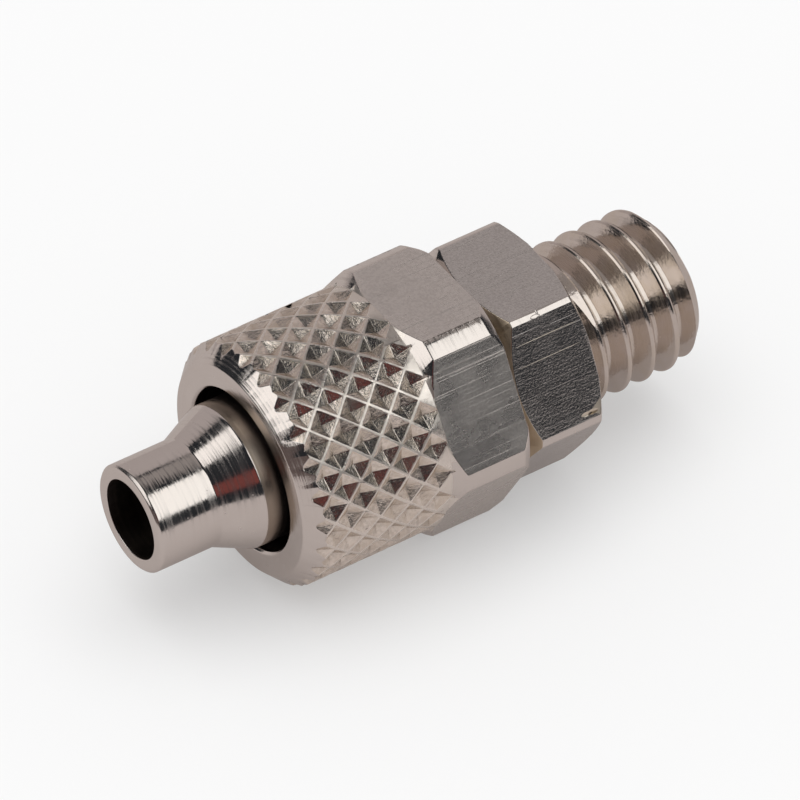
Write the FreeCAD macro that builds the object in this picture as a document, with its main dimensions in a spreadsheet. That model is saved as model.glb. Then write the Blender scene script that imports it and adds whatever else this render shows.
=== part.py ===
import FreeCAD, Part
import math
import os
import Sketcher

# Push-on hose coupler for 6/4 mm tube with an M6 male thread, in millimetres.
# The axis is X: the male thread points to +X, the hose nipple to -X, and +Z is up.
# The origin is on the axis, in the seat face of the spanner hexagon from which the stud rises.
# Two pieces: the turned fitting body and the knurled union nut that is screwed onto it.

doc = FreeCAD.newDocument("PushOnHoseCoupler")
sheet = doc.addObject("Spreadsheet::Sheet", "Sizes")

driving_sizes = [
    # fitting body, from the nipple's tip to the end of the stud
    ("flow_bore_dia", 3.0),
    ("nipple_dia", 4.05),
    ("nipple_length", 2.46),
    ("nipple_bevel", 0.1),
    ("cone_length", 1.45),
    ("neck_dia", 5.36),
    ("neck_length", 2.5),
    ("clamp_thread_length", 6.5),
    ("clamp_thread_bevel", 0.45),
    ("relief_depth", 0.5),
    ("relief_width", 0.59),
    ("body_hex_af", 8.0),
    ("body_hex_length", 3.44),
    ("body_corner_turndown", 0.238),
    ("body_hex_bevel", 0.29),
    ("body_clock", 3.0),
    ("stud_dia", 5.9),
    ("stud_length", 5.3),
    ("stud_bevel", 0.55),
    ("stud_pitch", 1.0),
    ("stud_crest", 0.15),
    ("stud_root", 0.14),
    ("stud_flank_angle", 30.0),
    ("stud_shank", 0.035),
    ("stud_start_angle", 52.0),
    # union nut
    ("nut_length", 8.94),
    ("nut_grip_length", 5.77),
    ("nut_grip_proud", 0.075),
    ("nut_front_cone", 0.6),
    ("nut_mouth_dia", 6.15),
    ("nut_mouth_length", 1.1),
    ("nut_mouth_bevel", 0.1),
    ("nut_hex_af", 9.0),
    ("nut_wall", 0.75),
    ("nut_corner_turndown", 0.392),
    ("nut_hex_bevel", 0.26),
    ("nut_countersink", 0.25),
    ("hex_bevel_angle", 30.0),
    # knurl pressed into the nut's grip
    ("knurl_around", 24),
    ("knurl_columns", 9),
    ("knurl_pitch", 1.226),
    ("knurl_start", 0.374),
    ("knurl_depth", 0.28),
    ("knurl_ridge", 0.08),
    ("knurl_shank", 0.4),
    ("knurl_clock", 8.9),
    # fits
    ("running_clearance", 0.05),
    ("seat_gap", 0.05),
    # how far a cutting outline reaches past what it cuts
    ("overcut", 0.1),
]
for row, (alias, value) in enumerate(driving_sizes, start=1):
    sheet.set(f"A{row}", alias)
    sheet.set(f"B{row}", str(value))
    sheet.setAlias(f"B{row}", alias)
doc.recompute()


def origin_plane(body, role):
    return next(feature for feature in body.Origin.OriginFeatures if feature.Role == role)


def add_sketch(body, name, role):
    sketch = body.newObject("Sketcher::SketchObject", name)
    sketch.AttachmentSupport = (origin_plane(body, role), [""])
    sketch.MapMode = "FlatFace"
    return sketch


def closed_outline(sketch, corners):
    """Join the corners, each a pair of sheet expressions, by straight lines and tie them to the origin."""
    places = [FreeCAD.Vector(sheet.evalExpression(x), sheet.evalExpression(y), 0) for x, y in corners]
    first = sketch.GeometryCount
    for start, end in zip(places, places[1:] + places[:1]):
        sketch.addGeometry(Part.LineSegment(start, end), False)
    for number, (x, y) in enumerate(corners):
        line = first + number
        before = first + (number - 1) % len(corners)
        sketch.addConstraint(Sketcher.Constraint("Coincident", before, 2, line, 1))
        for kind, size, value in (("DistanceX", x, places[number].x), ("DistanceY", y, places[number].y)):
            made = sketch.addConstraint(Sketcher.Constraint(kind, -1, 1, line, 1, value))
            sketch.setExpression(f"Constraints[{made}]", size)


def hexagon_corners(across_flats, clock):
    """The six corners of a spanner hexagon that has a flat facing up, turned by the clock angle."""
    reach = f"{across_flats} / 2 / cos(30)"
    angles = [f"({clock} + {60 * number + 30})" for number in range(6)]
    return [(f"-{reach} * sin({angle})", f"{reach} * cos({angle})") for angle in angles]


def turn(body, kind, name, corners):
    """A Revolution adds, and a Groove removes, the outline turned about the X axis."""
    sketch = add_sketch(body, name + "Outline", "XZ_Plane")
    closed_outline(sketch, corners)
    turned = body.newObject(kind, name)
    turned.Profile = sketch
    turned.ReferenceAxis = (sketch, ["H_Axis"])
    turned.Angle = 360
    doc.recompute()
    return turned


def add_circle(sketch, radius):
    circle = sketch.addGeometry(Part.Circle(FreeCAD.Vector(0, 0, 0), FreeCAD.Vector(0, 0, 1), 1), False)
    sketch.addConstraint(Sketcher.Constraint("Coincident", circle, 3, -1, 1))
    made = sketch.addConstraint(Sketcher.Constraint("Radius", circle, sheet.evalExpression(radius)))
    sketch.setExpression(f"Constraints[{made}]", radius)


def cut_flats(body, name, across_flats, clock, front, length):
    """Cut away all that is outside the hexagon, from the front station back over the length."""
    sketch = add_sketch(body, name + "Outline", "YZ_Plane")
    sketch.setExpression(".AttachmentOffset.Base.z", front)
    closed_outline(sketch, hexagon_corners(f"Sizes.{across_flats}", clock))
    add_circle(sketch, f"Sizes.{across_flats} / 2 / cos(30) + Sizes.overcut")
    pocket = body.newObject("PartDesign::Pocket", name)
    pocket.Profile = sketch
    pocket.setExpression("Length", length)
    doc.recompute()


def half(size):
    return f"Sizes.{size} / 2"


# radii across the turned-down corners of the two hexagons, and where their bevels begin
body_sharp_radius = "Sizes.body_hex_af / 2 / cos(30)"
body_corner_radius = f"({body_sharp_radius} - Sizes.body_corner_turndown / 2)"
body_bevel_radius = f"{body_corner_radius} - Sizes.body_hex_bevel / tan(Sizes.hex_bevel_angle)"
nut_sharp_radius = "Sizes.nut_hex_af / 2 / cos(30)"
nut_corner_radius = f"({nut_sharp_radius} - Sizes.nut_corner_turndown / 2)"
nut_bevel_radius = f"{nut_corner_radius} - Sizes.nut_hex_bevel / tan(Sizes.hex_bevel_angle)"

# the nut's hexagon and wall leave its bore, and the body's clamp thread runs in that bore
nut_bore_radius = "(Sizes.nut_hex_af / 2 - Sizes.nut_wall)"
clamp_radius = f"({nut_bore_radius} - Sizes.running_clearance)"
relief_radius = f"{clamp_radius} - Sizes.relief_depth"

# stations along the body's axis, from the seat face back to the nipple's tip
hex_back = "-Sizes.body_hex_length"
relief_back = f"{hex_back} - Sizes.relief_width"
clamp_back = f"{relief_back} - Sizes.clamp_thread_length"
neck_back = f"{clamp_back} - Sizes.neck_length"
cone_back = f"{neck_back} - Sizes.cone_length"
nipple_back = f"{cone_back} - Sizes.nipple_length"
stud_front = "Sizes.stud_length"

# fitting body: everything from the nipple to the stud is turned from one bar
fitting = doc.addObject("PartDesign::Body", "FittingBody")
fitting.Label = "fitting_body"
turn(fitting, "PartDesign::Revolution", "TurnedBar", [
    (nipple_back, "0"),
    (stud_front, "0"),
    (stud_front, half("stud_dia") + " - Sizes.stud_bevel"),
    (f"{stud_front} - Sizes.stud_bevel", half("stud_dia")),
    ("0", half("stud_dia")),
    ("0", body_bevel_radius),
    ("-Sizes.body_hex_bevel", body_corner_radius),
    (f"{hex_back} + Sizes.body_hex_bevel", body_corner_radius),
    (hex_back, body_bevel_radius),
    (hex_back, relief_radius),
    (relief_back, relief_radius),
    (relief_back, clamp_radius),
    (f"{clamp_back} + Sizes.clamp_thread_bevel", clamp_radius),
    (clamp_back, f"{clamp_radius} - Sizes.clamp_thread_bevel"),
    (clamp_back, half("neck_dia")),
    (neck_back, half("neck_dia")),
    (cone_back, half("nipple_dia")),
    (f"{nipple_back} + Sizes.nipple_bevel", half("nipple_dia")),
    (nipple_back, half("nipple_dia") + " - Sizes.nipple_bevel"),
])

# the stud's thread: a V groove along a right-hand helix, from beside the seat face out past the stud's end
groove_half = "(Sizes.stud_pitch - Sizes.stud_crest) / 2"
groove_depth = f"({groove_half} - Sizes.stud_root / 2) / tan(Sizes.stud_flank_angle)"
overcut_half = f"({groove_half} + Sizes.overcut * tan(Sizes.stud_flank_angle))"
first_groove = f"(Sizes.stud_shank + {groove_half})"
thread_outline = add_sketch(fitting, "StudThreadOutline", "XZ_Plane")
thread_outline.AttachmentOffset = FreeCAD.Placement(
    FreeCAD.Vector(0, 0, 0), FreeCAD.Rotation(FreeCAD.Vector(1, 0, 0), sheet.stud_start_angle)
)
thread_outline.setExpression(".AttachmentOffset.Rotation.Angle", "Sizes.stud_start_angle")
closed_outline(thread_outline, [
    (f"{first_groove} - {overcut_half}", half("stud_dia") + " + Sizes.overcut"),
    (f"{first_groove} + {overcut_half}", half("stud_dia") + " + Sizes.overcut"),
    (f"{first_groove} + Sizes.stud_root / 2", half("stud_dia") + f" - {groove_depth}"),
    (f"{first_groove} - Sizes.stud_root / 2", half("stud_dia") + f" - {groove_depth}"),
])
stud_thread = fitting.newObject("PartDesign::SubtractiveHelix", "StudThread")
stud_thread.Profile = thread_outline
stud_thread.ReferenceAxis = (thread_outline, ["H_Axis"])
stud_thread.Mode = "pitch-height-angle"
stud_thread.LeftHanded = False
stud_thread.setExpression("Pitch", "Sizes.stud_pitch")
stud_thread.setExpression("Height", f"Sizes.stud_length - {first_groove} + Sizes.stud_pitch / 2")
doc.recompute()

# the six spanner flats behind the seat face
cut_flats(fitting, "Hexagon", "body_hex_af", "Sizes.body_clock", "0", "Sizes.body_hex_length")

# the flow bore, drilled right through
bore_outline = add_sketch(fitting, "FlowBoreOutline", "YZ_Plane")
add_circle(bore_outline, half("flow_bore_dia"))
flow_bore = fitting.newObject("PartDesign::Pocket", "FlowBore")
flow_bore.Profile = bore_outline
flow_bore.Type = "ThroughAll"
flow_bore.Midplane = True
doc.recompute()

# union nut: a turned blank with a knurled grip, a spanner hexagon and a mouth that clamps the hose on the cone
nut_back = f"{hex_back} - Sizes.seat_gap"
nut_front = f"{nut_back} - Sizes.nut_length"
grip_back = f"{nut_front} + Sizes.nut_grip_length"
grip_radius = "(Sizes.nut_hex_af / 2 + Sizes.nut_grip_proud)"
mouth_back = f"{nut_front} + Sizes.nut_mouth_length"
nut = doc.addObject("PartDesign::Body", "NutBlank")
nut.Label = "nut_blank"
turn(nut, "PartDesign::Revolution", "TurnedNut", [
    (nut_front, half("nut_mouth_dia") + " + Sizes.nut_mouth_bevel"),
    (f"{nut_front} + Sizes.nut_mouth_bevel", half("nut_mouth_dia")),
    (mouth_back, half("nut_mouth_dia")),
    (f"{mouth_back} + {nut_bore_radius} - Sizes.nut_mouth_dia / 2", nut_bore_radius),
    (f"{nut_back} - Sizes.nut_countersink", nut_bore_radius),
    (nut_back, f"{nut_bore_radius} + Sizes.nut_countersink"),
    (nut_back, nut_bevel_radius),
    (f"{nut_back} - Sizes.nut_hex_bevel", nut_corner_radius),
    (f"{grip_back} + {nut_corner_radius} - {grip_radius}", nut_corner_radius),
    (grip_back, grip_radius),
    (f"{nut_front} + Sizes.nut_front_cone", grip_radius),
    (nut_front, f"{grip_radius} - Sizes.nut_front_cone"),
])
cut_flats(nut, "Flats", "nut_hex_af", "0", nut_back, "Sizes.nut_length - Sizes.nut_grip_length")


def knurl_pit():
    """One tooth of the knurling wheel at the top of the grip: a four-sided point under a straight shank."""
    surface = sheet.evalExpression(grip_radius)
    length_half = sheet.knurl_pitch / 2
    step_half = math.radians(180 / sheet.knurl_around)
    width_half = surface * math.sin(step_half)
    edge_distance = length_half * width_half / math.hypot(length_half, width_half)
    narrowed = 1 - sheet.knurl_ridge / 2 / edge_distance
    point = FreeCAD.Vector(0, 0, surface - sheet.knurl_depth)
    side_angle = step_half * narrowed
    rim = [
        FreeCAD.Vector(length_half * narrowed, 0, surface),
        FreeCAD.Vector(0, surface * math.sin(side_angle), surface * math.cos(side_angle)),
        FreeCAD.Vector(-length_half * narrowed, 0, surface),
        FreeCAD.Vector(0, -surface * math.sin(side_angle), surface * math.cos(side_angle)),
    ]
    # the point's sides go on a little above the rim, so that the round grip and not the tool's edge bounds the pit
    rim = [point + (corner - point) * knurl_overreach for corner in rim]
    top = [FreeCAD.Vector(corner.x, corner.y, surface + sheet.knurl_shank) for corner in rim]
    faces = [Part.Face(Part.makePolygon(top + top[:1]))]
    for number in range(4):
        after = (number + 1) % 4
        faces.append(Part.Face(Part.makePolygon([point, rim[number], rim[after], point])))
        wall = [rim[number], rim[after], top[after], top[number], rim[number]]
        faces.append(Part.Face(Part.makePolygon(wall)))
    return Part.makeSolid(Part.makeShell(faces))


# the diamond knurl: columns of pits side by side along the grip, every other column half a step round
knurl_overreach = 1.05
axis_point = FreeCAD.Vector(0, 0, 0)
axis_way = FreeCAD.Vector(1, 0, 0)
pit = knurl_pit()
pits = []
for column in range(int(sheet.knurl_columns)):
    place = sheet.evalExpression(nut_front) + sheet.knurl_start + column * sheet.knurl_pitch / 2
    turn_step = 360 / sheet.knurl_around
    for number in range(int(sheet.knurl_around)):
        copy = pit.copy()
        copy.translate(FreeCAD.Vector(place, 0, 0))
        copy.rotate(axis_point, axis_way, sheet.knurl_clock + (number + column % 2 / 2) * turn_step)
        pits.append(copy)
knurl = doc.addObject("Part::Feature", "KnurlPits")
knurl.Label = "knurl_pits"
knurl.Shape = Part.makeCompound(pits)
union_nut = doc.addObject("Part::Cut", "UnionNut")
union_nut.Label = "union_nut"
union_nut.Base = nut
union_nut.Refine = False
union_nut.Tool = knurl
doc.recompute()

# every object has to be sound before anything is written
for made in doc.Objects:
    if "Invalid" in made.State or "Error" in made.State:
        raise RuntimeError(f"{made.Label} failed: {made.State}")
os.makedirs("parts", exist_ok=True)
for piece in (fitting, union_nut):
    if piece.Shape.isNull() or not piece.Shape.isValid() or len(piece.Shape.Solids) != 1:
        raise RuntimeError(f"{piece.Label} is not one sound solid")
    piece.Shape.exportStep(f"parts/{piece.Label}.step")
    box = piece.Shape.BoundBox
    print(f"{piece.Label}: {piece.Shape.Volume:.2f} mm3, x {box.XMin:.2f} to {box.XMax:.2f}")
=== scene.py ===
import math
import random

import bmesh
import bpy
from mathutils import Matrix, Vector


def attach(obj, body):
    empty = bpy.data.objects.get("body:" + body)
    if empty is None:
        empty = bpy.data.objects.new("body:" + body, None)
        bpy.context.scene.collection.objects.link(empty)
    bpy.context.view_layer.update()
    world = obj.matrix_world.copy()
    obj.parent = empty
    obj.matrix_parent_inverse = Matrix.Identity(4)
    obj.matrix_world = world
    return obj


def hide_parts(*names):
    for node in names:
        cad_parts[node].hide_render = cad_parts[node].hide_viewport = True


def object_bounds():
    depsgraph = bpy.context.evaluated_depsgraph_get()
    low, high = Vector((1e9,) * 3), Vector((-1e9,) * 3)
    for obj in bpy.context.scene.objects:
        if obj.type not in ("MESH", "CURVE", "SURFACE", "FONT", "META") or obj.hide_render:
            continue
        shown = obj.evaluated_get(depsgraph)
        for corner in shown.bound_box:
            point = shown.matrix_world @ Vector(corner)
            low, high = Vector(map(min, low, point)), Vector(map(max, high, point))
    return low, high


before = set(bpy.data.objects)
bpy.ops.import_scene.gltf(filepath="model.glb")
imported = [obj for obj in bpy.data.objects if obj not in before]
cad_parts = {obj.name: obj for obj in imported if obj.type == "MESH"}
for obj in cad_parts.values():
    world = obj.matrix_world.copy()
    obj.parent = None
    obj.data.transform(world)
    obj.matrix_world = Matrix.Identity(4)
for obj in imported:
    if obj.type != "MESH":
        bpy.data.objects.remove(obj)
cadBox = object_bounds()
mm = 0.001
weldDistance = 0.0005 * mm  # points nearer to each other than this become one


# camera, at the photograph's angle

cameraSetup = {
    "azimuth": -33.872,
    "elevation": 42.197,
    "roll": 0.035,
    "distance": 414.8,
    "target": (-5.602, 0.205, -0.303),
    "lens": 535.06,
    "sensor": 36,
    "clipStart": 0.01,
}


def addCamera(setup):
    turn = math.radians(setup["azimuth"])
    lift = math.radians(setup["elevation"])
    back = Vector((math.sin(turn) * math.cos(lift), -math.cos(turn) * math.cos(lift), math.sin(lift)))
    side = Vector((math.cos(turn), math.sin(turn), 0))
    above = back.cross(side)
    tilt = Matrix.Rotation(math.radians(setup["roll"]), 3, back)
    side, above = tilt @ side, tilt @ above
    camera = bpy.data.objects.new("camera", bpy.data.cameras.new("camera"))
    bpy.context.scene.collection.objects.link(camera)
    place = Matrix((side, above, back)).transposed().to_4x4()
    place.translation = (Vector(setup["target"]) + back * setup["distance"]) * mm
    camera.matrix_world = place
    camera.data.lens = setup["lens"]
    camera.data.sensor_width = setup["sensor"]
    camera.data.clip_start = setup["clipStart"]
    bpy.context.scene.camera = camera


addCamera(cameraSetup)
print("camera placed")


# modelling helpers: sizes come in millimetres

def selectOnly(piece):
    bpy.ops.object.select_all(action="DESELECT")
    piece.select_set(True)
    bpy.context.view_layer.objects.active = piece


def openMesh(piece):
    selectOnly(piece)
    bpy.ops.object.mode_set(mode="EDIT")
    bpy.ops.mesh.select_all(action="DESELECT")


def closeMesh():
    bpy.ops.object.mode_set(mode="OBJECT")


def startShape(name, addPrimitive, **settings):
    # a primitive at the origin, open in edit mode with all of it selected
    bpy.ops.object.select_all(action="DESELECT")
    addPrimitive(location=(0, 0, 0), **settings)
    piece = bpy.context.object
    piece.name = name
    bpy.ops.object.mode_set(mode="EDIT")
    bpy.ops.mesh.select_all(action="SELECT")
    return piece


def selectWhere(piece, kind, wanted):
    # kind is "verts" or "edges"
    bpy.ops.mesh.select_all(action="DESELECT")
    mesh = bmesh.from_edit_mesh(piece.data)
    for part in getattr(mesh, kind):
        part.select = wanted(part)
    mesh.select_flush_mode()
    bmesh.update_edit_mesh(piece.data)


def selectTopFace(piece):
    bpy.ops.mesh.select_all(action="DESELECT")
    mesh = bmesh.from_edit_mesh(piece.data)
    mesh.faces.ensure_lookup_table()
    top = max(mesh.faces, key=lambda face: face.calc_center_median().z)
    top.select = True
    bmesh.update_edit_mesh(piece.data)


def tidyMesh():
    bpy.ops.mesh.select_all(action="SELECT")
    bpy.ops.mesh.remove_doubles(threshold=weldDistance)
    bpy.ops.mesh.normals_make_consistent(inside=False)


def turnAbout(degrees):
    # turns what is selected about the piece's own axis, right-handed about +X
    bpy.ops.transform.rotate(value=-math.radians(degrees), orient_axis="X", center_override=(0, 0, 0))


def addOutline(name, corners):
    # one vertex, extruded from corner to corner and back to the start
    # a corner is its place along X and its radius
    piece = startShape(name, bpy.ops.mesh.primitive_plane_add, size=mm)
    bpy.ops.mesh.merge(type="CENTER")
    bpy.ops.transform.translate(value=(corners[0][0] * mm, 0, corners[0][1] * mm))
    for start, end in zip(corners, corners[1:] + corners[:1]):
        step = ((end[0] - start[0]) * mm, 0, (end[1] - start[1]) * mm)
        bpy.ops.mesh.extrude_vertices_move(TRANSFORM_OT_translate={"value": step})
    bpy.ops.mesh.select_all(action="SELECT")
    bpy.ops.mesh.remove_doubles(threshold=weldDistance)
    return piece


def turnPiece(name, corners, rounding, steps):
    # the outline gets its corners rounded and is spun about X
    piece = addOutline(name, corners)
    bpy.ops.mesh.bevel(affect="VERTICES", offset=rounding * mm, segments=4, profile=0.5)
    bpy.ops.mesh.select_all(action="SELECT")
    bpy.ops.mesh.spin(steps=steps, angle=math.tau, center=(0, 0, 0), axis=(1, 0, 0))
    tidyMesh()
    closeMesh()
    return piece


def cutAway(piece, tool):
    selectOnly(piece)
    cut = piece.modifiers.new("cut", "BOOLEAN")
    cut.operation = "DIFFERENCE"
    cut.object = tool
    cut.solver = "MANIFOLD"
    bpy.ops.object.modifier_apply(modifier=cut.name)
    bpy.data.objects.remove(tool)


def bevelEdges(piece, width, sharperThan):
    selectOnly(piece)
    bevel = piece.modifiers.new("edges", "BEVEL")
    bevel.width = width * mm
    bevel.segments = 2
    bevel.limit_method = "ANGLE"
    bevel.angle_limit = math.radians(sharperThan)
    bevel.use_clamp_overlap = False
    bpy.ops.object.modifier_apply(modifier=bevel.name)


def addFlatCutters(name, acrossFlats, xStart, xEnd, clock, runout=(0, 0)):
    # six blocks round the hexagon, one modelled and turned five times
    across = acrossFlats / 2
    deep = 1.5  # more than the flats take off anywhere
    sideShare = 1.94  # 2 would be a whole side, a little less keeps the blocks apart
    wide = across * math.tan(math.radians(30)) * sideShare
    tool = startShape(name, bpy.ops.mesh.primitive_cube_add, size=1)
    bpy.ops.transform.resize(value=((xEnd - xStart) * mm, wide * mm, deep * mm))
    bpy.ops.transform.translate(value=((xStart + xEnd) / 2 * mm, 0, (across + deep / 2) * mm))
    turnAbout(clock)
    for number in range(5):
        bpy.ops.mesh.duplicate()
        turnAbout(60)
    tidyMesh()
    bpy.ops.transform.translate(value=(0, runout[0] * mm, runout[1] * mm))
    closeMesh()
    return tool


def addThreadCutter(name, size):
    # the groove's section, driven along a right-hand helix and closed at both ends
    slope = math.tan(math.radians(size["flank"]))
    rootHalf = size["root"] / 2
    topHalf = (size["pitch"] - size["crest"]) / 2
    depth = (topHalf - rootHalf) / slope
    radius = size["radius"]
    x = size["start"]
    flare = size["crestRounding"]  # the groove opens by this much at the surface, which rounds the crests
    # the first two corners lie outside the surface, the rest follow the groove down and up again
    section = [
        (x - topHalf - flare * 3, radius + flare * 2),
        (x + topHalf + flare * 3, radius + flare * 2),
        (x + topHalf + flare, radius),
        (x + topHalf - flare * slope, radius - flare),
        (x + rootHalf, radius - depth),
        (x - rootHalf, radius - depth),
        (x - topHalf + flare * slope, radius - flare),
        (x - topHalf - flare, radius),
    ]
    tool = addOutline(name, section)
    turnAbout(size["startAngle"])
    closeMesh()
    selectOnly(tool)
    screw = tool.modifiers.new("helix", "SCREW")
    screw.axis = "X"
    screw.steps = screw.render_steps = size["steps"]
    screw.iterations = 1
    screw.angle = math.tau * size["turns"]
    screw.screw_offset = size["pitch"] * size["turns"] * mm
    screw.use_normal_calculate = True
    bpy.ops.object.modifier_apply(modifier=screw.name)
    # the groove grows from nothing to its full depth over its first part
    stepAngle = 360 * size["turns"] / size["steps"]
    for index, vertex in enumerate(tool.data.vertices):
        done = index // len(section) * stepAngle
        if done < size["fadeIn"]:
            away = math.hypot(vertex.co.y, vertex.co.z)
            grown = 1 + (depth + flare * 2) * mm * (1 - done / size["fadeIn"]) / away
            vertex.co.y *= grown
            vertex.co.z *= grown
    openMesh(tool)
    bpy.ops.mesh.select_non_manifold()
    bpy.ops.mesh.fill_holes(sides=0)
    tidyMesh()
    closeMesh()
    return tool


def addDent(name, dent):
    # a small egg-shaped tool, laid on the surface
    x, angle, radius, along, around, deep = dent
    tool = startShape(name, bpy.ops.mesh.primitive_ico_sphere_add, subdivisions=3, radius=1)
    bpy.ops.transform.resize(value=(along * mm, around * mm, deep * mm))
    bpy.ops.transform.translate(value=(x * mm, 0, radius * mm))
    turnAbout(90 - angle)
    closeMesh()
    return tool


def cutDents(piece, dents):
    for name, dent in dents.items():
        cutAway(piece, addDent(name, dent))


# fitting body: one turned piece, from the nipple to the stud

fittingBodySizes = {
    "boreRadius": 1.5,
    "nippleTip": -16.94,
    "nippleRadius": 2.025,
    "tipBevel": 0.1,
    "coneFront": -14.48,
    "coneBack": -13.03,
    "neckRadius": 2.68,
    "barrelFront": -10.53,
    "barrelRadius": 3.7,
    "barrelBevel": 0.45,
    "barrelBack": -4.03,
    "reliefRadius": 3.2,
    "hexBack": -3.44,
    "hexAcross": 8.0,
    "hexCornerRadius": 4.5,
    "hexBevel": 0.29,
    "hexBevelSlope": 30,
    "hexBackBevel": 0.66,
    "hexBackSlope": 38,
    "hexClock": 3.0,
    "hexRunout": (0.027, -0.053),
    "studRadius": 2.95,
    "studEnd": 5.3,
    "studBevel": 0.55,
    "steps": 192,
    "rounding": 0.03,
    "hexEdge": 0.03,
    "edgeAngle": 24,
    "cutBeyond": 0.3,  # how far the cutters reach past the hexagon at each end
    "studThread": {
        "radius": 2.95,
        "pitch": 1.0,
        "crest": 0.15,
        "root": 0.14,
        "flank": 30,
        "start": 0.307,
        "startAngle": 15,
        "turns": 5.36,
        "steps": 504,
        "crestRounding": 0.04,
        "fadeIn": 37,
    },
    "clampThread": {
        "radius": 3.7,
        "pitch": 0.75,
        "crest": 0.12,
        "root": 0.1,
        "flank": 30,
        "start": -11.2,
        "startAngle": 0,
        "turns": 9.6,
        "steps": 904,
        "crestRounding": 0.015,
        "fadeIn": 0,
    },
    "dents": {
        # place along X, angle round from -Y over the top, radius, half sizes along X, round and inwards
        "cornerNick": (-1.8, 55.9, 4.5, 0.2, 0.09, 0.025),
        "nickTail": (-1.67, 57.4, 4.5, 0.05, 0.12, 0.025),
        "cornerChip": (-0.86, 2.7, 4.4, 0.29, 0.2, 0.05),
        "chipTail": (-0.6, 1.8, 4.39, 0.24, 0.2, 0.045),
        "chipHole": (-0.69, 0.5, 4.365, 0.1, 0.045, 0.06),
        "longScratch": (-1.55, 46.8, 4.2, 1.3, 0.013, 0.008),
        "faintScratch": (-1.65, 36.3, 4.003, 1.35, 0.01, 0.006),
    },
}


def addFittingBody(size):
    bevelDepth = size["hexBevel"] / math.tan(math.radians(size["hexBevelSlope"]))
    backBevelDepth = size["hexBackBevel"] / math.tan(math.radians(size["hexBackSlope"]))
    barrel = size["barrelRadius"]
    outline = [
        (size["nippleTip"], size["boreRadius"]),
        (size["nippleTip"], size["nippleRadius"] - size["tipBevel"]),
        (size["nippleTip"] + size["tipBevel"], size["nippleRadius"]),
        (size["coneFront"], size["nippleRadius"]),
        (size["coneBack"], size["neckRadius"]),
        (size["barrelFront"], size["neckRadius"]),
        (size["barrelFront"], barrel - size["barrelBevel"]),
        (size["barrelFront"] + size["barrelBevel"], barrel),
        (size["barrelBack"], barrel),
        (size["barrelBack"], size["reliefRadius"]),
        (size["hexBack"], size["reliefRadius"]),
        (size["hexBack"], size["hexCornerRadius"] - backBevelDepth),
        (size["hexBack"] + size["hexBackBevel"], size["hexCornerRadius"]),
        (-size["hexBevel"], size["hexCornerRadius"]),
        (0, size["hexCornerRadius"] - bevelDepth),
        (0, size["studRadius"]),
        (size["studEnd"] - size["studBevel"], size["studRadius"]),
        (size["studEnd"], size["studRadius"] - size["studBevel"]),
        (size["studEnd"], size["boreRadius"]),
    ]
    piece = turnPiece("fittingBody", outline, size["rounding"], size["steps"])
    start, end = size["hexBack"] - size["cutBeyond"], size["cutBeyond"]
    flats = addFlatCutters("bodyFlats", size["hexAcross"], start, end, size["hexClock"], size["hexRunout"])
    cutAway(piece, flats)
    bevelEdges(piece, size["hexEdge"], size["edgeAngle"])
    cutAway(piece, addThreadCutter("studGroove", size["studThread"]))
    cutAway(piece, addThreadCutter("clampGroove", size["clampThread"]))
    cutDents(piece, size["dents"])
    return piece


fittingBody = addFittingBody(fittingBodySizes)
print("fitting body modelled", len(fittingBody.data.polygons))


# union nut: turned, knurled and with six flats

unionNutSizes = {
    "front": -12.43,
    "back": -3.49,
    "gripBack": -6.66,
    "gripRadius": 4.575,
    "frontCone": 0.6,
    "mouthRadius": 3.075,
    "mouthBevel": 0.1,
    "mouthDepth": 1.1,
    "boreRadius": 3.75,
    "countersink": 0.25,
    "hexAcross": 9.0,
    "cornerRadius": 5.0,
    "hexBevel": 0.37,
    "hexBevelDepth": 0.24,
    "steps": 192,
    "rounding": 0.03,
    "hexEdge": 0.03,
    "edgeAngle": 24,
    "cutBeyond": 0.3,
    "trimReach": 0.002,
    "knurl": {
        "around": 24,
        "columns": 9,
        "pitch": 1.226,
        "start": 0.374,
        "depth": 0.28,
        "ridge": 0.08,
        "clock": 8.9,
        "overreach": 1.1,  # the tool is this many times a pit's size, so that its base lies outside the nut
        "shank": 0.4,
        "crease": 0.03,
        "edge": 0.013,
        "uneven": 0.007,
        "seed": 7,
    },
    "dents": {
        "topPit": (-5.31, 91.1, 4.5, 0.05, 0.03, 0.03),
    },
}


def addPit(size, surface, lengthHalf, widthHalf):
    # one pit's tool: a pyramid pointing inwards, with a shank above its base
    edgeDistance = lengthHalf * widthHalf / math.hypot(lengthHalf, widthHalf)
    narrowed = 1 - size["ridge"] / 2 / edgeDistance
    reach = narrowed * size["overreach"]
    sideDrop = surface * (1 - math.cos(math.radians(180 / size["around"]) * narrowed))
    deep = size["depth"] * size["overreach"]
    cone = bpy.ops.mesh.primitive_cone_add
    tool = startShape("knurlPits", cone, vertices=4, radius1=1, radius2=0, depth=1)
    bpy.ops.transform.resize(value=(lengthHalf * reach * mm, widthHalf * reach * mm, -deep * mm))
    bpy.ops.transform.translate(value=(0, 0, (surface - size["depth"] + deep / 2) * mm))
    # the two corners round the nut follow its curve
    selectWhere(tool, "verts", lambda vertex: abs(vertex.co.y) > widthHalf * mm / 2)
    bpy.ops.transform.translate(value=(0, 0, -sideDrop * size["overreach"] * mm))
    # the creases get a small round
    low = min(vertex.co.z for vertex in bmesh.from_edit_mesh(tool.data).verts)
    selectWhere(tool, "edges", lambda edge: min(vertex.co.z for vertex in edge.verts) < low + weldDistance)
    bpy.ops.mesh.bevel(affect="EDGES", offset=size["crease"] * mm, segments=2, profile=0.5)
    selectTopFace(tool)
    bpy.ops.mesh.extrude_region_move(TRANSFORM_OT_translate={"value": (0, 0, size["shank"] * mm)})
    bpy.ops.mesh.select_all(action="SELECT")
    bpy.ops.mesh.normals_make_consistent(inside=False)
    return tool


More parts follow.
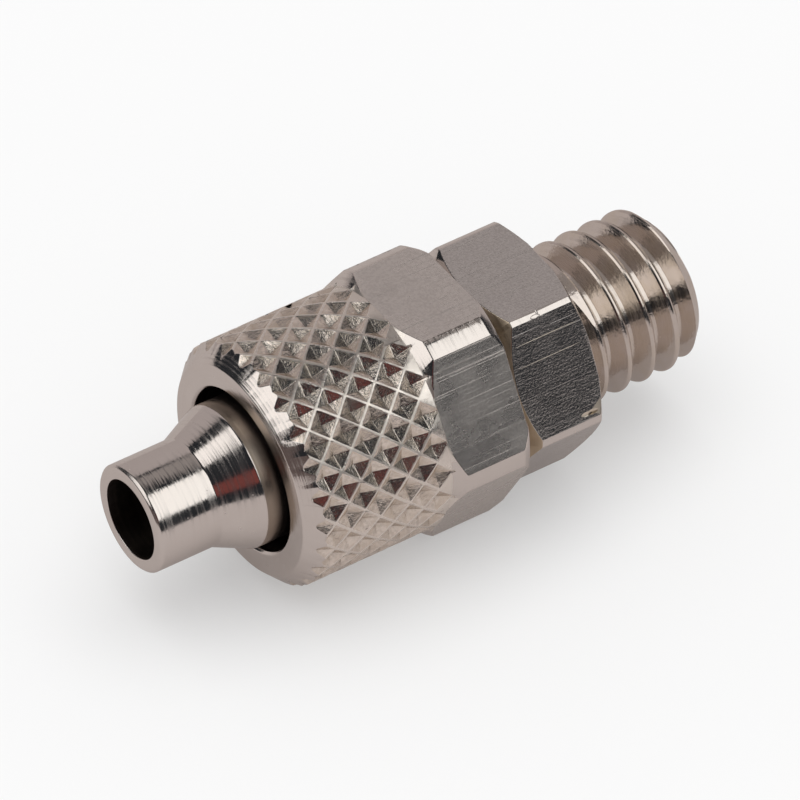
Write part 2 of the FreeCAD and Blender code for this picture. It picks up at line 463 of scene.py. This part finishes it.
def addKnurlPits(size, surface, front):
    # one ring of pits, then the columns, every other one half a step round
    lengthHalf = size["pitch"] / 2
    widthHalf = surface * math.sin(math.radians(180 / size["around"]))
    tool = addPit(size, surface, lengthHalf, widthHalf)
    bpy.ops.transform.translate(value=((front + size["start"]) * mm, 0, 0))
    turnAbout(size["clock"])
    step = 360 / size["around"]
    for number in range(size["around"] - 1):
        bpy.ops.mesh.duplicate()
        turnAbout(step)
    bpy.ops.mesh.select_all(action="SELECT")
    for column in range(1, size["columns"]):
        bpy.ops.mesh.duplicate()
        bpy.ops.transform.translate(value=(lengthHalf * mm, 0, 0))
        turnAbout(step / 2 if column % 2 else -step / 2)
    closeMesh()
    # no two pits are struck quite alike
    count = size["around"] * size["columns"]
    perPit = len(tool.data.vertices) // count
    chance = random.Random(size["seed"])
    for number in range(count):
        shift = [chance.uniform(-size["uneven"], size["uneven"]) * mm for axis in range(3)]
        for vertex in tool.data.vertices[number * perPit:(number + 1) * perPit]:
            vertex.co += Vector(shift)
    return tool


def trimToRadius(piece, limit, radius):
    # nothing in front of the limit stands proud of the turned radius
    for vertex in piece.data.vertices:
        away = math.hypot(vertex.co.y, vertex.co.z)
        if vertex.co.x < limit * mm and away > radius * mm:
            vertex.co.y *= radius * mm / away
            vertex.co.z *= radius * mm / away


def addUnionNut(size):
    grip = size["gripRadius"]
    mouthEnd = size["front"] + size["mouthDepth"]
    outline = [
        (size["front"], size["mouthRadius"] + size["mouthBevel"]),
        (size["front"] + size["mouthBevel"], size["mouthRadius"]),
        (mouthEnd, size["mouthRadius"]),
        (mouthEnd + size["boreRadius"] - size["mouthRadius"], size["boreRadius"]),
        (size["back"] - size["countersink"], size["boreRadius"]),
        (size["back"], size["boreRadius"] + size["countersink"]),
        (size["back"], size["cornerRadius"] - size["hexBevelDepth"]),
        (size["back"] - size["hexBevel"], size["cornerRadius"]),
        (size["gripBack"] + size["cornerRadius"] - grip, size["cornerRadius"]),
        (size["gripBack"], grip),
        (size["front"] + size["frontCone"], grip),
        (size["front"], grip - size["frontCone"]),
    ]
    piece = turnPiece("unionNut", outline, size["rounding"], size["steps"])
    end = size["back"] + size["cutBeyond"]
    cutAway(piece, addFlatCutters("nutFlats", size["hexAcross"], size["gripBack"], end, 0))
    bevelEdges(piece, size["hexEdge"], size["edgeAngle"])
    cutAway(piece, addKnurlPits(size["knurl"], grip, size["front"]))
    bevelEdges(piece, size["knurl"]["edge"], size["edgeAngle"])
    trimToRadius(piece, size["gripBack"] + size["trimReach"], grip)
    cutDents(piece, size["dents"])
    return piece


unionNut = addUnionNut(unionNutSizes)
print("union nut modelled", len(unionNut.data.polygons))


# materials

plating = {
    "colour": (0.72, 0.675, 0.64),
    "worn": (0.92, 0.89, 0.86),
    "flats": (0.785, 0.755, 0.72),
    "darkFlats": (0.67, 0.655, 0.635),
    # a pale colour for the knurl's ridge tops: partly wear, partly painted highlight
    "ridgeWearSheen": (0.88, 0.83, 0.77),
    "knurl": (0.90, 0.83, 0.75),
    "warm": (0.66, 0.59, 0.52),
    "thread": (0.68, 0.62, 0.575),
    # an olive colour for one side of the back chamfer and the relief groove: painted shade and reflection
    "olive": (0.48, 0.385, 0.27),
    # a darker colour for the neck inside the nut's mouth: painted shade
    "neck": (0.42, 0.355, 0.295),
    # a very dark colour for bore walls and holes: painted shade
    "paintedShade": (0.16, 0.135, 0.125),
    "dull": (0.36, 0.33, 0.31),
    "bare": (0.80, 0.73, 0.62),
    "grazing": (0.86, 0.85, 0.84),
}


def newGroup(name, inputs, outputs):
    group = bpy.data.node_groups.new(name, "ShaderNodeTree")
    for label, value in inputs.items():
        socket = group.interface.new_socket(label, in_out="INPUT", socket_type="NodeSocketFloat")
        socket.default_value = value
    for label in outputs:
        group.interface.new_socket(label, in_out="OUTPUT", socket_type="NodeSocketFloat")
    return group, group.nodes.new("NodeGroupInput").outputs, group.nodes.new("NodeGroupOutput").inputs


def addMath(tree, operation, *values):
    node = tree.nodes.new("ShaderNodeMath")
    node.operation = operation
    for socket, value in zip(node.inputs, values):
        if isinstance(value, (int, float)):
            socket.default_value = value
        else:
            tree.links.new(value, socket)
    return node.outputs[0]


def addSum(tree, *terms):
    # a base number plus each mask times its share
    total = terms[0]
    for mask, share in terms[1:]:
        total = addMath(tree, "ADD", addMath(tree, "MULTIPLY", mask, share), total)
    return total


def addRamp(tree, value, low, high):
    # 0 below low, 1 above high, smooth between
    node = tree.nodes.new("ShaderNodeMapRange")
    node.interpolation_type = "SMOOTHSTEP"
    node.inputs["From Min"].default_value = low
    node.inputs["From Max"].default_value = high
    tree.links.new(value, node.inputs["Value"])
    return node.outputs["Result"]


def addPlaces(tree):
    # X, Y and Z in millimetres
    coordinates = tree.nodes.new("ShaderNodeTexCoord")
    parts = tree.nodes.new("ShaderNodeSeparateXYZ")
    tree.links.new(coordinates.outputs["Object"], parts.inputs[0])
    return [addMath(tree, "MULTIPLY", parts.outputs[axis], 1 / mm) for axis in "XYZ"]


def addRadius(tree, y, z):
    # distance from the piece's axis
    squares = addMath(tree, "ADD", addMath(tree, "MULTIPLY", y, y), addMath(tree, "MULTIPLY", z, z))
    return addMath(tree, "SQRT", squares)


def addVector(tree, *values):
    node = tree.nodes.new("ShaderNodeCombineXYZ")
    for socket, value in zip(node.inputs, values):
        tree.links.new(value, socket)
    return node.outputs[0]


def addScaled(tree, x, y, z, alongScale, roundScale):
    # a place with X stretched by one scale and Y and Z by the other
    across = [addMath(tree, "MULTIPLY", place, roundScale) for place in (y, z)]
    return addVector(tree, addMath(tree, "MULTIPLY", x, alongScale), *across)


def addNoise(tree, vector, scale, detail, roughness=0.5):
    noise = tree.nodes.new("ShaderNodeTexNoise")
    noise.inputs["Scale"].default_value = scale
    noise.inputs["Detail"].default_value = detail
    noise.inputs["Roughness"].default_value = roughness
    tree.links.new(vector, noise.inputs["Vector"])
    return noise.outputs["Fac"]


def makeTurningRings():
    # rings left by the turning tool: quick change along the outline, slow change round the axis
    radiusShare = 0.83  # so that faces square to the axis get rings too
    broadScale, broadShare = 0.24, 0.8
    streakScale, streakFrom, streakTo = 0.7, 0.42, 0.68
    group, given, result = newGroup("turningRings", {"Fineness": 12.0, "Run": 0.3}, ["Height", "Streak"])
    x, y, z = addPlaces(group)
    path = addMath(group, "ADD", x, addMath(group, "MULTIPLY", addRadius(group, y, z), radiusShare))
    vector = addScaled(group, path, y, z, given["Fineness"], given["Run"])
    fine = addNoise(group, vector, 1.0, detail=2)
    broad = addNoise(group, vector, broadScale, detail=1)
    streak = addNoise(group, vector, streakScale, detail=2)
    height = addMath(group, "ADD", fine, addMath(group, "MULTIPLY", broad, broadShare))
    group.links.new(height, result["Height"])
    group.links.new(addRamp(group, streak, streakFrom, streakTo), result["Streak"])
    return group


def makeDrawnLines():
    # straight lines along the bar on the hexagons' flats, and the few deeper ones that catch the light
    lineScale, sharpness = 1.15, 14
    fewest, countShare = 0.78, 0.2
    lowShare, upperFrom, upperTo = 0.35, 1.4, 3.0  # most of the deeper lines are on the upper part
    settings = {"Fineness": 9.0, "Run": 0.25, "Count": 0.5}
    group, given, result = newGroup("drawnLines", settings, ["Height", "Line"])
    x, y, z = addPlaces(group)
    vector = addScaled(group, x, y, z, given["Run"], given["Fineness"])
    group.links.new(addNoise(group, vector, 1.0, detail=3, roughness=0.65), result["Height"])
    limit = addMath(group, "SUBTRACT", fewest, addMath(group, "MULTIPLY", given["Count"], countShare))
    noise = addNoise(group, vector, lineScale, detail=2, roughness=0.6)
    line = addMath(group, "MULTIPLY", addMath(group, "SUBTRACT", noise, limit), sharpness)
    line = addMath(group, "MINIMUM", addMath(group, "MAXIMUM", line, 0), 1)
    shown = addSum(group, lowShare, (addRamp(group, z, upperFrom, upperTo), 1 - lowShare))
    group.links.new(addMath(group, "MULTIPLY", line, shown), result["Line"])
    return group


def makeSpecks():
    # small scattered marks
    chosenFrom, chosenTo = 0.55, 0.7
    group, given, result = newGroup("specks", {"Density": 5.0, "Size": 0.16}, ["Mask"])
    spots = group.nodes.new("ShaderNodeTexVoronoi")
    group.links.new(addVector(group, *addPlaces(group)), spots.inputs["Vector"])
    group.links.new(given["Density"], spots.inputs["Scale"])
    chosen = group.nodes.new("ShaderNodeSeparateColor")
    group.links.new(spots.outputs["Color"], chosen.inputs[0])
    near = addMath(group, "SUBTRACT", 1, addMath(group, "DIVIDE", spots.outputs["Distance"], given["Size"]))
    shown = addRamp(group, chosen.outputs[0], chosenFrom, chosenTo)
    group.links.new(addMath(group, "MULTIPLY", addMath(group, "MAXIMUM", near, 0), shown), result["Mask"])
    return group


def makeBlotches():
    # broad uneven patches in the plating, lumps and a fine grain
    patchFrom, patchTo = 0.35, 0.7
    grainScale, lumpScale = 17.0, 4.5
    group, given, result = newGroup("blotches", {"Scale": 0.8}, ["Mask", "Grain", "Lumps"])
    x, y, z = addPlaces(group)
    vector = addScaled(group, x, y, z, given["Scale"], given["Scale"])
    patch = addNoise(group, vector, 1.0, detail=3, roughness=0.6)
    group.links.new(addRamp(group, patch, patchFrom, patchTo), result["Mask"])
    group.links.new(addNoise(group, vector, grainScale, detail=2, roughness=0.6), result["Grain"])
    group.links.new(addNoise(group, vector, lumpScale, detail=2, roughness=0.6), result["Lumps"])
    return group


def makeRidgeWearAndHighlight():
    # the outermost skin of the ridges, worn by handling and painted paler as a highlight
    raggedScale, raggedShare = 5.0, 1.6
    wornFrom, wornTo = 0.8, 1.7
    group, given, result = newGroup("ridgeWearAndHighlight", {"Outside": 4.575, "Depth": 0.05}, ["Mask"])
    x, y, z = addPlaces(group)
    below = addMath(group, "SUBTRACT", given["Outside"], addRadius(group, y, z))
    under = addMath(group, "DIVIDE", below, given["Depth"])
    noise = addNoise(group, addVector(group, x, y, z), raggedScale, detail=3)
    ragged = addMath(group, "MULTIPLY", noise, raggedShare)
    skin = addRamp(group, addMath(group, "ADD", under, ragged), wornFrom, wornTo)
    group.links.new(addMath(group, "SUBTRACT", 1, skin), result["Mask"])
    return group


def makeCombMarks():
    # ticks along one side of the nut's upper corners, left where the turned corner meets the flat
    lean, tickFrom, tickTo = 0.1, 0.47, 0.53
    upperFrom, upperTo = 2.6, 3.4
    group, given, result = newGroup("combMarks", {"Side": 25.84, "Fineness": 8.0}, ["Mask"])
    x, y, z = addPlaces(group)
    angle = addMath(group, "ARCTAN2", addMath(group, "MULTIPLY", y, -1), z)
    degrees = addMath(group, "ADD", addMath(group, "MULTIPLY", angle, 180 / math.pi), 30)
    folded = addMath(group, "SUBTRACT", addMath(group, "FLOORED_MODULO", degrees, 60), 30)
    inside = addMath(group, "SUBTRACT", folded, given["Side"])
    vector = addVector(group, addMath(group, "MULTIPLY", x, given["Fineness"]), y, z)
    noise = addNoise(group, vector, 1.0, detail=1)
    level = addMath(group, "SUBTRACT", noise, addMath(group, "MULTIPLY", inside, lean))
    ticks = addRamp(group, level, tickFrom, tickTo)
    oneSide = addMath(group, "GREATER_THAN", folded, 0)
    upper = addMath(group, "MULTIPLY", oneSide, addRamp(group, z, upperFrom, upperTo))
    group.links.new(addMath(group, "MULTIPLY", ticks, upper), result["Mask"])
    return group


turningRings = makeTurningRings()
combMarks = makeCombMarks()
drawnLines = makeDrawnLines()
specks = makeSpecks()
blotches = makeBlotches()
ridgeWearAndHighlight = makeRidgeWearAndHighlight()


def newMaterial(name):
    material = bpy.data.materials.new(name)
    material.use_nodes = True
    return material, material.node_tree


def newPlate(name):
    # plated metal, with what is the same all over it set on the shader
    material, tree = newMaterial(name)
    shader = tree.nodes["Principled BSDF"]
    shader.inputs["Metallic"].default_value = 1
    shader.inputs["Specular Tint"].default_value = (*plating["grazing"], 1)
    return material, tree, shader


def addEffect(tree, group, **settings):
    node = tree.nodes.new("ShaderNodeGroup")
    node.node_tree = group
    for label, value in settings.items():
        node.inputs[label].default_value = value
    return node.outputs


def addMix(tree, mask, low, high):
    # two colours blended by a mask; a colour is three numbers or another blend
    node = tree.nodes.new("ShaderNodeMix")
    node.data_type = "RGBA"
    sockets = [socket for socket in node.inputs if socket.type == "RGBA"]
    for socket, colour in zip(sockets, (low, high)):
        if isinstance(colour, tuple):
            socket.default_value = (*colour, 1)
        else:
            tree.links.new(colour, socket)
    tree.links.new(mask, node.inputs["Factor"])
    return [socket for socket in node.outputs if socket.type == "RGBA"][0]


def dressShader(tree, shader, shade, roughness, height, deep):
    tree.links.new(shade, shader.inputs["Base Color"])
    tree.links.new(roughness, shader.inputs["Roughness"])
    bump = tree.nodes.new("ShaderNodeBump")
    bump.inputs["Strength"].default_value = 1
    bump.inputs["Distance"].default_value = deep * mm
    tree.links.new(height, bump.inputs["Height"])
    tree.links.new(bump.outputs["Normal"], shader.inputs["Normal"])


# marks that every turned finish shares, then what sets each finish apart
turnedMarks = {
    "speckDensity": 3.0, "speckSize": 0.12, "speckRoughness": 0.2, "speckHeight": -0.6,
    "patchRoughness": 0.05, "combRoughness": 0.12, "combHeight": -3.0,
}
turnedFinish = {
    "fineness": 13.0, "run": 0.25, "patches": 0.8, "tinting": 0.1,
    "roughness": 0.1, "streaks": 0.13, "ringDepth": 0.0042, "lumps": 0.0,
}
neckFinish = {
    "fineness": 7.0, "run": 0.1, "patches": 0.6, "tinting": 0.3,
    "roughness": 0.28, "streaks": 0.15, "ringDepth": 0.004, "lumps": 0.0,
}
# the neck's finish darkens further towards the back of the nut's mouth: painted shade
shadedNeckFinish = dict(neckFinish, shadeFrom=-12.9, shadeFull=-12.25)
threadFinish = {
    "fineness": 12.0, "run": 0.5, "patches": 1.3, "tinting": 0.9,
    "roughness": 0.12, "streaks": 0.1, "ringDepth": 0.003, "lumps": 2.5,
}


def makeTurnedPlate(name, colour, tint, size, comb=None):
    common = turnedMarks
    material, tree, shader = newPlate(name)
    rings = addEffect(tree, turningRings, Fineness=size["fineness"], Run=size["run"])
    patches = addEffect(tree, blotches, Scale=size["patches"])
    spots = addEffect(tree, specks, Density=common["speckDensity"], Size=common["speckSize"])["Mask"]
    shade = addMix(tree, addMath(tree, "MULTIPLY", patches["Mask"], size["tinting"]), colour, tint)
    roughness = addSum(
        tree, size["roughness"], (rings["Streak"], size["streaks"]),
        (patches["Mask"], common["patchRoughness"]), (spots, common["speckRoughness"]),
    )
    height = addSum(
        tree, 0.0, (rings["Height"], 1.0), (spots, common["speckHeight"]), (patches["Lumps"], size["lumps"]),
    )
    # darker towards the back of the nut's mouth: painted shade
    if "shadeFrom" in size:
        depth = addRamp(tree, addPlaces(tree)[0], size["shadeFrom"], size["shadeFull"])
        shade = addMix(tree, depth, shade, plating["paintedShade"])
    if comb:
        ticks = addEffect(tree, comb)["Mask"]
        shade = addMix(tree, ticks, shade, plating["dull"])
        roughness = addSum(tree, roughness, (ticks, common["combRoughness"]))
        height = addSum(tree, height, (ticks, common["combHeight"]))
    dressShader(tree, shader, shade, roughness, height, size["ringDepth"])
    return material


# marks that both hexagons' flats share, then each hexagon's own finish
flatsMarks = {
    "speckDensity": 1.6, "speckSize": 0.07, "speckWear": 0.6, "speckRoughness": 0.3, "speckHeight": -0.8,
    "lineWear": 0.2, "lineRoughness": 0.25, "lineHeight": 0.5, "grainFrom": 0.4, "grainTo": 0.62,
}
nutFlatsFinish = {
    "fineness": 16.0, "run": 0.08, "count": 0.85, "patches": 0.62, "graininess": 0.2,
    "roughness": 0.26, "unevenness": 0.05, "grain": 1.5, "lineDepth": 0.0042,
}
bodyFlatsFinish = {
    "fineness": 17.0, "run": 0.13, "count": 0.62, "patches": 0.75, "graininess": 0.25,
    "roughness": 0.145, "unevenness": 0.06, "grain": 1.9, "lineDepth": 0.004,
}


def makeFlatsPlate(name, colour, size):
    common = flatsMarks
    material, tree, shader = newPlate(name)
    lines = addEffect(tree, drawnLines, Fineness=size["fineness"], Run=size["run"], Count=size["count"])
    patches = addEffect(tree, blotches, Scale=size["patches"])
    spots = addEffect(tree, specks, Density=common["speckDensity"], Size=common["speckSize"])["Mask"]
    worn = addSum(tree, 0.0, (lines["Line"], common["lineWear"]), (spots, common["speckWear"]))
    grain = addRamp(tree, patches["Grain"], common["grainFrom"], common["grainTo"])
    shade = addMix(tree, addMath(tree, "MULTIPLY", grain, size["graininess"]), colour, plating["dull"])
    shade = addMix(tree, addMath(tree, "MINIMUM", worn, 1), shade, plating["worn"])
    roughness = addSum(
        tree, size["roughness"], (patches["Mask"], size["unevenness"]),
        (lines["Line"], common["lineRoughness"]), (spots, common["speckRoughness"]),
    )
    height = addSum(
        tree, 0.0, (lines["Height"], 1.0), (patches["Grain"], size["grain"]),
        (spots, common["speckHeight"]), (lines["Line"], common["lineHeight"]),
    )
    dressShader(tree, shader, shade, roughness, height, size["lineDepth"])
    return material


knurlFinish = {
    "patches": 1.6, "tint": (0.72, 0.64, 0.55), "mottling": 7.0, "mottled": 0.4,
    # the first three below darken the pits towards their bottoms: painted shade
    "pitShade": 0.3, "pitShadeFrom": 4.42, "pitShadeFull": 4.3, "wornDepth": 0.03,
    "roughness": 0.15, "unevenness": 0.12, "ridgeRoughness": 0.12, "grain": 1.4, "lumps": 3.2,
    "ringFineness": 6.0, "ringRun": 1.5, "ringHeight": 0.5, "grainDepth": 0.004,
}


def makeKnurlPlate(name, colour, size):
    material, tree, shader = newPlate(name)
    patches = addEffect(tree, blotches, Scale=size["patches"])
    fine = addEffect(tree, blotches, Scale=size["mottling"])
    rings = addEffect(tree, turningRings, Fineness=size["ringFineness"], Run=size["ringRun"])
    ridgeWearSheen = addEffect(tree, ridgeWearAndHighlight, Outside=unionNutSizes["gripRadius"], Depth=size["wornDepth"])["Mask"]
    marbling = addMath(tree, "MULTIPLY", fine["Mask"], size["mottled"])
    mottled = addMix(tree, marbling, colour, plating["dull"])
    # the pit walls darken towards the pit bottoms: painted shade
    radius = addRadius(tree, *addPlaces(tree)[1:])
    proud = addRamp(tree, radius, size["pitShadeFull"], size["pitShadeFrom"])
    pitShade = addSum(tree, size["pitShade"], (proud, -size["pitShade"]))
    walls = addMix(tree, pitShade, addMix(tree, patches["Mask"], mottled, size["tint"]), plating["dull"])
    # the ridge tops get a pale colour, partly wear and partly a painted highlight, and more roughness
    shade = addMix(tree, ridgeWearSheen, walls, plating["ridgeWearSheen"])
    roughness = addSum(
        tree, size["roughness"], (patches["Mask"], size["unevenness"]), (ridgeWearSheen, size["ridgeRoughness"]),
    )
    height = addSum(
        tree, 0.0, (patches["Grain"], size["grain"]), (patches["Lumps"], size["lumps"]),
        (rings["Height"], size["ringHeight"]),
    )
    dressShader(tree, shader, shade, roughness, height, size["grainDepth"])
    return material


finishes = {
    "turned": makeTurnedPlate("plateTurned", plating["colour"], plating["worn"], turnedFinish),
    # the neck inside the nut's mouth is painted darker as shade
    "neck": makeTurnedPlate("plateShadedNeck", plating["neck"], plating["warm"], shadedNeckFinish),
    # the olive colour on the -Y side of the back chamfer and on the relief groove is painted shade and
    # reflection
    "chamfer": makeTurnedPlate("plateChamfer", plating["olive"], plating["warm"], neckFinish),
    "corner": makeTurnedPlate("plateCorner", plating["colour"], plating["worn"], turnedFinish, combMarks),
    "bare": makeTurnedPlate("plateBare", plating["bare"], plating["warm"], neckFinish),
    "thread": makeTurnedPlate("plateThread", plating["thread"], plating["warm"], threadFinish),
    # bore walls and the chip's hole are painted dark as shade
    "inside": makeTurnedPlate("plateShadedInside", plating["paintedShade"], plating["neck"], neckFinish),
    "nutFlats": makeFlatsPlate("plateNutFlats", plating["flats"], nutFlatsFinish),
    "bodyFlats": makeFlatsPlate("plateBodyFlats", plating["darkFlats"], bodyFlatsFinish),
    "knurl": makeKnurlPlate("plateKnurl", plating["knurl"], knurlFinish),
}

# what tells one kind of face from another, in millimetres where it is a length
finishPlaces = {
    "skin": 0.02,  # this near to a surface or an end counts as on it
    "cornerSkin": 0.03,
    "flatSkin": 0.012,
    "square": 0.05,  # a flat's normal leans less than this along X
    "sloping": 0.3,  # a chamfer's normal leans more than this along X
    "boreLip": 0.25,  # the bright first part of the bore at the nipple's tip; past it the bore is painted dark as shade
    "chamferFoot": 3.4,
    "flatFoot": 3.9,
    "flatReach": 0.1,
    "paintedShadeReach": 85,  # degrees up and down from -Y over which the back chamfer gets the olive colour, a painted shade and reflection
    "neckStart": 0.05,
    "mouthLip": 0.5,
    "boreWall": 0.2,
    "gripReach": 0.1,
    "dentSkin": 1.02,  # 1 is the dent's own surface
    # the chip's hole gets the bores' dark colour, a painted shade
    "dentFinishes": {"chipHole": "inside", "cornerNick": "turned", "nickTail": "turned"},
    "smoothBelow": 26,
}


def distanceToFlats(centre, clock):
    # distance from the axis, measured square to the nearest of six flats
    angle = math.degrees(math.atan2(-centre.y, centre.z)) - clock
    return math.hypot(centre.y, centre.z) * math.cos(math.radians((angle + 30) % 60 - 30))


def dentAt(centre, dents):
    # the dent a point lies in, if any
    for name, (x, angle, radius, along, around, deep) in dents.items():
        outward = Vector((0, -math.cos(math.radians(angle)), math.sin(math.radians(angle))))
        offset = centre - Vector((x, 0, 0)) - outward * radius
        inwards = offset.dot(outward)
        sideways = offset.dot(outward.cross(Vector((1, 0, 0))))
        reach = (offset.x / along) ** 2 + (inwards / deep) ** 2 + (sideways / around) ** 2
        if reach < finishPlaces["dentSkin"]:
            return name
    return ""


def bodyHexFinishAt(face, centre, radius):
    size, places = fittingBodySizes, finishPlaces
    sloping = abs(face.normal.x) > places["sloping"] and radius > places["chamferFoot"]
    near = distanceToFlats(centre, size["hexClock"]) < size["hexAcross"] / 2 + places["flatReach"]
    if near and not sloping and radius > places["flatFoot"]:
        onCorner = abs(radius - size["hexCornerRadius"]) <= places["cornerSkin"]
        return "turned" if onCorner else "bodyFlats"
    atBack = centre.x < size["hexBack"] + size["hexBackBevel"]
    # only the back chamfer's -Y side gets the olive colour, a painted shade and reflection
    paintedSide = abs(math.degrees(math.atan2(centre.z, -centre.y))) < places["paintedShadeReach"]
    return "chamfer" if atBack and sloping and paintedSide else "turned"


def bodyFinishAt(face):
    size, places = fittingBodySizes, finishPlaces
    centre = face.center / mm
    radius = math.hypot(centre.y, centre.z)
    dent = dentAt(centre, size["dents"])
    if dent:
        return places["dentFinishes"].get(dent, "bare")
    # bore walls past the lip are painted dark as shade
    if radius < size["boreRadius"] + places["skin"]:
        return "inside" if centre.x > size["nippleTip"] + places["boreLip"] else "turned"
    if centre.x > places["skin"]:
        return "thread"
    if centre.x > size["hexBack"]:
        return bodyHexFinishAt(face, centre, radius)
    if centre.x > size["barrelFront"] + size["barrelBevel"]:
        # the relief groove under the nut gets the olive colour, a painted shade
        return "thread" if centre.x < size["barrelBack"] else "chamfer"
    # the neck inside the nut's mouth gets a darker colour, a painted shade
    return "neck" if centre.x > size["coneBack"] + places["neckStart"] else "turned"


def nutFinishAt(face):
    size, places = unionNutSizes, finishPlaces
    centre = face.center / mm
    radius = math.hypot(centre.y, centre.z)
    # the nut's bore past the mouth lip is painted dark as shade
    if radius < size["boreRadius"] + places["boreWall"]:
        return "inside" if centre.x > size["front"] + places["mouthLip"] else "turned"
    if centre.x < size["gripBack"] + places["gripReach"]:
        coneEnd = size["front"] + size["frontCone"]
        coneRadius = size["gripRadius"] - (coneEnd - centre.x)
        beside = radius > size["gripRadius"] - size["frontCone"] and centre.x < coneEnd
        onCone = beside and abs(radius - coneRadius) < places["cornerSkin"]
        return "turned" if onCone or centre.x < size["front"] + places["skin"] else "knurl"
    corner = size["cornerRadius"] - places["cornerSkin"]
    offFlat = abs(distanceToFlats(centre, 0) - size["hexAcross"] / 2)
    if offFlat < places["flatSkin"] and abs(face.normal.x) < places["square"] and radius < corner:
        return "nutFlats"
    return "corner" if radius > corner else "turned"


def finishPiece(piece, finishAt):
    names = list(finishes)
    piece.data.materials.clear()
    for name in names:
        piece.data.materials.append(finishes[name])
    for face in piece.data.polygons:
        face.material_index = names.index(finishAt(face))
    selectOnly(piece)
    bpy.ops.object.material_slot_remove_unused()
    bpy.ops.object.shade_smooth_by_angle(angle=math.radians(finishPlaces["smoothBelow"]))
    even = piece.modifiers.new("even", "WEIGHTED_NORMAL")
    even.keep_sharp = True
    even.weight = 100
    bpy.ops.object.modifier_apply(modifier=even.name)


finishPiece(fittingBody, bodyFinishAt)
finishPiece(unionNut, nutFinishAt)
print("materials made")

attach(fittingBody, "fitting_body")
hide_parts("fitting_body")
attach(unionNut, "union_nut")
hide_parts("union_nut")


# floor and studio: soft boxes and cards, each set by the directions of its four corners seen from the part

studio = {
    "floorColour": (0.55, 0.55, 0.55),
    "floorMirrored": (0.30, 0.27, 0.26),
    "floorGlow": (0.32, 0.32, 0.32),
    "floorGlowMirrored": (0.225, 0.205, 0.20),
    "floorSize": 3.0,
    "fill": 2.0,
    "fillSize": 0.8,
    "fillHeight": 0.6,
    "paper": (1.0, 1.0, 1.0),
    "daylight": (0.8, 0.8, 0.8),
    "around": (0.022, 0.024, 0.028),
    "centre": (-0.006, 0, 0),
    "distance": 0.6,
}
cards = {
    # colour, then corners as azimuth from -Y towards +X and elevation
    "rightBox": ((1.25, 1.23, 1.20), (8, 21), (64, 21), (74, 64), (-8, 63)),
    "leftBox": ((1.24, 1.20, 1.17), (-76, 20.5), (-132, 22.5), (-160, 70), (-68, 70)),
    "overhead": ((0.32, 0.29, 0.28), (72, 51), (142, 45), (152, 68), (75, 70)),
    "backdrop": ((0.46, 0.41, 0.40), (104, -1), (197, -1), (194, 44.5), (108, 44)),
    "redCard": ((0.195, 0.057, 0.05), (-37, 18), (-16, 18), (-16, 37), (-37, 37)),
    "lowCard": ((0.13, 0.10, 0.095), (-92, -2), (-48, -2), (-48, 17), (-92, 17)),
}


def directionOf(azimuth, elevation):
    turn, lift = math.radians(azimuth), math.radians(elevation)
    return Vector((math.sin(turn) * math.cos(lift), -math.cos(turn) * math.cos(lift), math.sin(lift)))


def addPlane(name, size, place):
    bpy.ops.object.select_all(action="DESELECT")
    bpy.ops.mesh.primitive_plane_add(size=size, location=place)
    plane = bpy.context.object
    plane.name = name
    return plane


def addFloor():
    # pale paper, darker where the plating mirrors it
    floor = addPlane("floor", studio["floorSize"], (0, 0, cadBox[0][2]))
    material, tree = newMaterial("floorPaper")
    shader = tree.nodes["Principled BSDF"]
    rays = tree.nodes.new("ShaderNodeLightPath")
    paper = addMix(tree, rays.outputs["Is Glossy Ray"], studio["floorColour"], studio["floorMirrored"])
    glow = addMix(tree, rays.outputs["Is Glossy Ray"], studio["floorGlow"], studio["floorGlowMirrored"])
    tree.links.new(paper, shader.inputs["Base Color"])
    tree.links.new(glow, shader.inputs["Emission Color"])
    shader.inputs["Emission Strength"].default_value = 1
    shader.inputs["Roughness"].default_value = 1
    shader.inputs["Specular IOR Level"].default_value = 0
    floor.data.materials.append(material)


def addCard(name, colour, *corners):
    # seen in the plating only
    card = addPlane(name, 1, (0, 0, 0))
    order = (0, 1, 3, 2)  # a plane's vertices run in rows, the corners run round
    for vertex, number in zip(card.data.vertices, order):
        vertex.co = Vector(studio["centre"]) + directionOf(*corners[number]) * studio["distance"]
    material, tree = newMaterial(name)
    tree.nodes.remove(tree.nodes["Principled BSDF"])
    glow = tree.nodes.new("ShaderNodeEmission")
    glow.inputs["Color"].default_value = (*colour, 1)
    tree.links.new(glow.outputs[0], tree.nodes["Material Output"].inputs["Surface"])
    card.data.materials.append(material)
    card.visible_camera = False
    card.visible_diffuse = False
    card.visible_shadow = False


def addFillLight():
    # lights the paper from above and never shows in the plating
    lamp = bpy.data.lights.new("fillLight", "AREA")
    lamp.shape = "DISK"
    lamp.size = studio["fillSize"]
    lamp.energy = studio["fill"]
    light = bpy.data.objects.new("fillLight", lamp)
    bpy.context.scene.collection.objects.link(light)
    light.location = (0, 0, studio["fillHeight"])
    light.visible_glossy = False


def addWorld():
    # dark around the part where the plating mirrors it, pale for the paper and the camera
    world = bpy.data.worlds.new("studioWorld")
    bpy.context.scene.world = world
    world.use_nodes = True
    tree = world.node_tree
    rays = tree.nodes.new("ShaderNodeLightPath")
    lit = addMix(tree, rays.outputs["Is Glossy Ray"], studio["daylight"], studio["around"])
    seen = addMix(tree, rays.outputs["Is Camera Ray"], lit, studio["paper"])
    tree.links.new(seen, tree.nodes["Background"].inputs["Color"])


addFloor()
for name, setting in cards.items():
    addCard(name, *setting)
addFillLight()
addWorld()
bpy.context.scene.view_settings.view_transform = "Standard"
print("studio lit")
